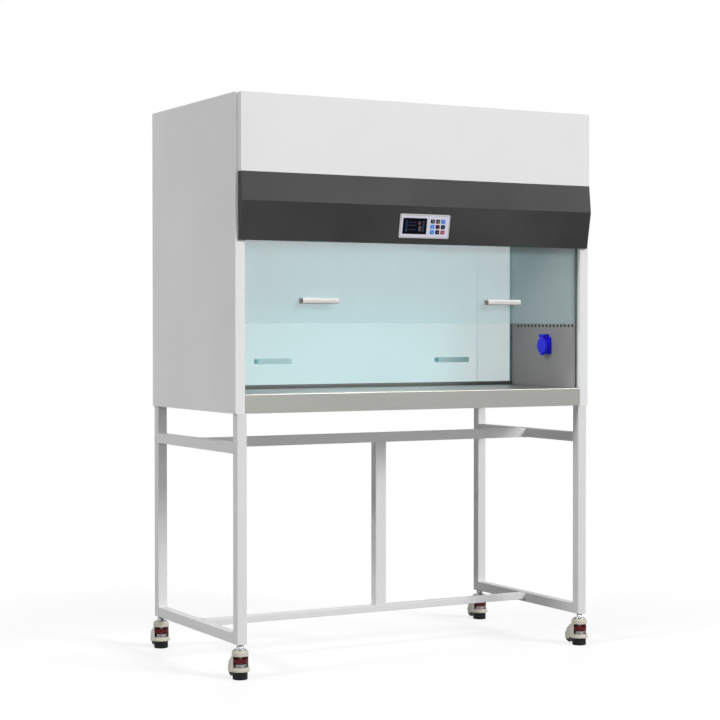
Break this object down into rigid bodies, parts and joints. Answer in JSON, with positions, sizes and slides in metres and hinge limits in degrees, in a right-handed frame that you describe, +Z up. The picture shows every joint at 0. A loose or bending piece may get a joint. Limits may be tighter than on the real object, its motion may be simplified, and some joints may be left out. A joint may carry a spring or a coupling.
{
  "type": "biosafety cabinet",
  "caption": "Double-sided laminar flow biosafety cabinet with two sliding glass sashes, sloped control fascia and stainless work surface on an open tube stand with levelling casters.",
  "frame": {"origin": "centre of the whole cabinet's footprint, on the floor under the levelling pads", "axes": "+X to the operator's right, +Y from the front to the back, +Z up"},
  "size_m": [1.316, 0.7381, 1.776],
  "materials": {
    "white_paint": "smooth powder coat",
    "grey_black_paint": "satin powder coat",
    "stainless": "brushed",
    "galvanised": "matt",
    "aluminium": "anodised",
    "silver_plastic": "satin",
    "screen_glass": "gloss",
    "black_key": "satin",
    "blue_key": "satin",
    "red_key": "satin",
    "blue_plastic": "gloss",
    "clear_glass": "polished",
    "filter_media": "pleated paper",
    "lamp_glass": "opal",
    "steel_weight": "black oxide",
    "nylon": "moulded",
    "wire": "stranded",
    "chrome": "bright",
    "cream_paint": "gloss enamel",
    "black_nylon": "moulded",
    "rubber": "ribbed",
    "black_plastic": "satin"
  },
  "bodies": {
    "cabinet": {"left_side_panel": "white_paint", "right_side_panel": "white_paint", "left_inner_wall": "stainless", "right_inner_wall": "stainless", "sash_channels": "aluminium", "roof_panel": "white_paint", "front_cover": "white_paint", "fascia": "grey_black_paint", "rear_panel": "white_paint", "power_inlet": "black_plastic", "base_pan": "galvanised", "worktop": "stainless", "filter_housing": "galvanised", "hepa_filter": "filter_media", "diffuser_screen": "stainless", "pre_filter": "filter_media", "blower_housing": "galvanised", "blower_motor": "aluminium", "work_lamp": "lamp_glass", "uv_lamp": "lamp_glass", "control_bezel": "silver_plastic", "display_screen": "screen_glass", "socket_base": "blue_plastic", "front_ropes": "wire", "rear_ropes": "wire", "stand_legs": "white_paint", "stand_side_rails": "white_paint", "stand_centre_frame": "white_paint", "caster_stems": "chrome"},
    "front_sash": {"front_glass": "clear_glass", "front_handles": "aluminium"},
    "rear_sash": {"rear_glass": "clear_glass", "rear_handles": "aluminium"},
    "front_balance": {"front_weights": "steel_weight"},
    "rear_balance": {"rear_weights": "steel_weight"},
    "front_pulley_pair": {"front_pulleys": "nylon"},
    "rear_pulley_pair": {"rear_pulleys": "nylon"},
    "blower_rotor": {"blower_wheel": "galvanised"},
    "socket_flap": {"socket_lid": "blue_plastic"},
    "key_1_cap": {"key_1": "black_key"},
    "key_2_cap": {"key_2": "black_key"},
    "key_3_cap": {"key_3": "blue_key"},
    "key_4_cap": {"key_4": "blue_key"},
    "key_5_cap": {"key_5": "black_key"},
    "key_6_cap": {"key_6": "black_key"},
    "key_7_cap": {"key_7": "blue_key"},
    "key_8_cap": {"key_8": "black_key"},
    "key_9_cap": {"key_9": "red_key"},
    "front_left_swivel": {"front_left_caster_housing": "cream_paint"},
    "front_left_wheel": {"front_left_caster_roller": "black_nylon"},
    "front_left_foot": {"front_left_levelling_foot": "rubber"},
    "front_right_swivel": {"front_right_caster_housing": "cream_paint"},
    "front_right_wheel": {"front_right_caster_roller": "black_nylon"},
    "front_right_foot": {"front_right_levelling_foot": "rubber"},
    "rear_left_swivel": {"rear_left_caster_housing": "cream_paint"},
    "rear_left_wheel": {"rear_left_caster_roller": "black_nylon"},
    "rear_left_foot": {"rear_left_levelling_foot": "rubber"},
    "rear_right_swivel": {"rear_right_caster_housing": "cream_paint"},
    "rear_right_wheel": {"rear_right_caster_roller": "black_nylon"},
    "rear_right_foot": {"rear_right_levelling_foot": "rubber"}
  },
  "joints": [
    {"name": "front_sash_slide", "type": "slide", "parent": "cabinet", "child": "front_sash", "axis": [0, 0, 1], "range_m": [-0.212, 0.14], "deforming": ["front_ropes"]},
    {"name": "front_balance_slide", "type": "slide", "parent": "cabinet", "child": "front_balance", "axis": [0, 0, 1], "range_m": [-0.14, 0.212]},
    {"name": "front_pulley_turn", "type": "hinge", "parent": "cabinet", "child": "front_pulley_pair", "pos_m": [0, -0.2925, 1.738], "axis": [1, 0, 0], "range_deg": [-370, 556]},
    {"name": "rear_sash_slide", "type": "slide", "parent": "cabinet", "child": "rear_sash", "axis": [0, 0, 1], "range_m": [0, 0.3], "deforming": ["rear_ropes"]},
    {"name": "rear_balance_slide", "type": "slide", "parent": "cabinet", "child": "rear_balance", "axis": [0, 0, 1], "range_m": [-0.3, 0]},
    {"name": "rear_pulley_turn", "type": "hinge", "parent": "cabinet", "child": "rear_pulley_pair", "pos_m": [0, 0.0985, 1.738], "axis": [1, 0, 0], "range_deg": [-790, 5]},
    {"name": "blower_spin", "type": "hinge", "parent": "cabinet", "child": "blower_rotor", "pos_m": [0, -0.1195, 1.632], "axis": [1, 0, 0], "continuous": true},
    {"name": "key_1_press", "type": "slide", "parent": "cabinet", "child": "key_1_cap", "axis": [0, 0.9833, 0.1818], "range_m": [0, 0.001], "stiffness_N_per_m": 500, "springref_m": -0.0006},
    {"name": "key_2_press", "type": "slide", "parent": "cabinet", "child": "key_2_cap", "axis": [0, 0.9833, 0.1818], "range_m": [0, 0.001], "stiffness_N_per_m": 500, "springref_m": -0.0006},
    {"name": "key_3_press", "type": "slide", "parent": "cabinet", "child": "key_3_cap", "axis": [0, 0.9833, 0.1818], "range_m": [0, 0.001], "stiffness_N_per_m": 500, "springref_m": -0.0006},
    {"name": "key_4_press", "type": "slide", "parent": "cabinet", "child": "key_4_cap", "axis": [0, 0.9833, 0.1818], "range_m": [0, 0.001], "stiffness_N_per_m": 500, "springref_m": -0.0006},
    {"name": "key_5_press", "type": "slide", "parent": "cabinet", "child": "key_5_cap", "axis": [0, 0.9833, 0.1818], "range_m": [0, 0.001], "stiffness_N_per_m": 500, "springref_m": -0.0006},
    {"name": "key_6_press", "type": "slide", "parent": "cabinet", "child": "key_6_cap", "axis": [0, 0.9833, 0.1818], "range_m": [0, 0.001], "stiffness_N_per_m": 500, "springref_m": -0.0006},
    {"name": "key_7_press", "type": "slide", "parent": "cabinet", "child": "key_7_cap", "axis": [0, 0.9833, 0.1818], "range_m": [0, 0.001], "stiffness_N_per_m": 500, "springref_m": -0.0006},
    {"name": "key_8_press", "type": "slide", "parent": "cabinet", "child": "key_8_cap", "axis": [0, 0.9833, 0.1818], "range_m": [0, 0.001], "stiffness_N_per_m": 500, "springref_m": -0.0006},
    {"name": "key_9_press", "type": "slide", "parent": "cabinet", "child": "key_9_cap", "axis": [0, 0.9833, 0.1818], "range_m": [0, 0.001], "stiffness_N_per_m": 500, "springref_m": -0.0006},
    {"name": "socket_flap_hinge", "type": "hinge", "parent": "cabinet", "child": "socket_flap", "pos_m": [0.5995, -0.1435, 1.039], "axis": [0, 1, 0], "range_deg": [0, 110], "stiffness_Nm_per_rad": 0.02, "springref_deg": -22.92},
    {"name": "front_left_caster_swivel", "type": "hinge", "parent": "cabinet", "child": "front_left_swivel", "pos_m": [-0.628, -0.323, 0.088], "axis": [0, 0, 1], "continuous": true},
    {"name": "front_left_wheel_roll", "type": "hinge", "parent": "front_left_swivel", "child": "front_left_wheel", "pos_m": [-0.628, -0.276, 0.025], "axis": [1, 0, 0], "continuous": true},
    {"name": "front_left_foot_screw", "type": "slide", "parent": "front_left_swivel", "child": "front_left_foot", "axis": [0, 0, 1], "range_m": [0, 0.008]},
    {"name": "front_right_caster_swivel", "type": "hinge", "parent": "cabinet", "child": "front_right_swivel", "pos_m": [0.628, -0.323, 0.088], "axis": [0, 0, 1], "continuous": true},
    {"name": "front_right_wheel_roll", "type": "hinge", "parent": "front_right_swivel", "child": "front_right_wheel", "pos_m": [0.628, -0.276, 0.025], "axis": [1, 0, 0], "continuous": true},
    {"name": "front_right_foot_screw", "type": "slide", "parent": "front_right_swivel", "child": "front_right_foot", "axis": [0, 0, 1], "range_m": [0, 0.008]},
    {"name": "rear_left_caster_swivel", "type": "hinge", "parent": "cabinet", "child": "rear_left_swivel", "pos_m": [-0.628, 0.3, 0.088], "axis": [0, 0, 1], "continuous": true},
    {"name": "rear_left_wheel_roll", "type": "hinge", "parent": "rear_left_swivel", "child": "rear_left_wheel", "pos_m": [-0.628, 0.347, 0.025], "axis": [1, 0, 0], "continuous": true},
    {"name": "rear_left_foot_screw", "type": "slide", "parent": "rear_left_swivel", "child": "rear_left_foot", "axis": [0, 0, 1], "range_m": [0, 0.008]},
    {"name": "rear_right_caster_swivel", "type": "hinge", "parent": "cabinet", "child": "rear_right_swivel", "pos_m": [0.628, 0.3, 0.088], "axis": [0, 0, 1], "continuous": true},
    {"name": "rear_right_wheel_roll", "type": "hinge", "parent": "rear_right_swivel", "child": "rear_right_wheel", "pos_m": [0.628, 0.347, 0.025], "axis": [1, 0, 0], "continuous": true},
    {"name": "rear_right_foot_screw", "type": "slide", "parent": "rear_right_swivel", "child": "rear_right_foot", "axis": [0, 0, 1], "range_m": [0, 0.008]}
  ],
  "couplings": [
    {"joint": "front_balance_slide", "follows": "front_sash_slide", "ratio": -1},
    {"joint": "front_pulley_turn", "follows": "front_sash_slide", "rad_per_m": -45.455},
    {"joint": "rear_balance_slide", "follows": "rear_sash_slide", "ratio": -1},
    {"joint": "rear_pulley_turn", "follows": "rear_sash_slide", "rad_per_m": -45.455}
  ]
}
